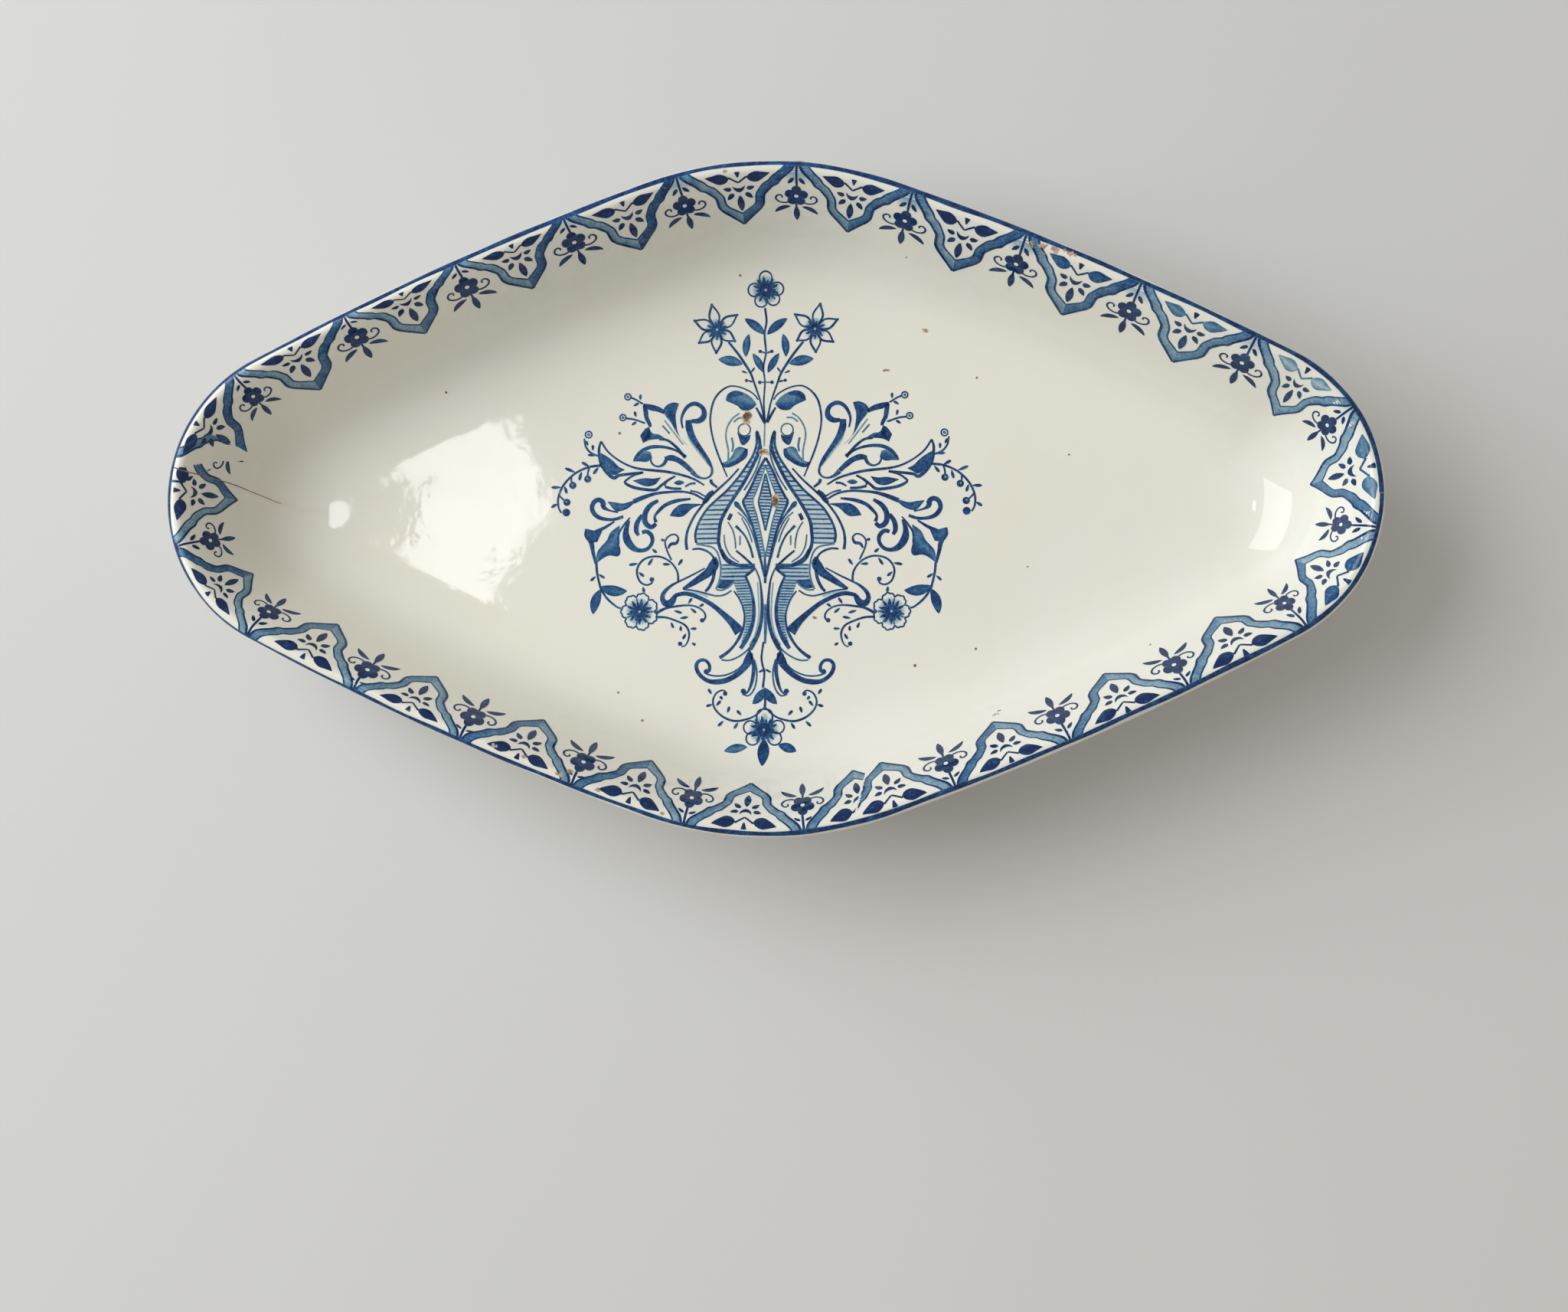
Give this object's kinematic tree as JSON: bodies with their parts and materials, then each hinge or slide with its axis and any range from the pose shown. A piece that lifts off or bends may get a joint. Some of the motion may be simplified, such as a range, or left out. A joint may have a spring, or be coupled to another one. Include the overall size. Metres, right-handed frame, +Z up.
{
  "type": "serving dish",
  "caption": "Shallow lozenge-shaped serving dish with a flared wall, rolled lip and foot ring, for side dishes and hors d'oeuvres.",
  "frame": {"origin": "on the table, under the middle of the dish", "axes": "+X along the dish's length, +Y across its width, +Z up out of the well"},
  "size_m": [0.24, 0.134, 0.033],
  "materials": {
    "glazed_body": "gloss",
    "foot": "gloss",
    "printed_decoration": "gloss"
  },
  "bodies": {
    "root": {"dish_body": "glazed_body", "foot_ring": "foot"}
  },
  "joints": []
}
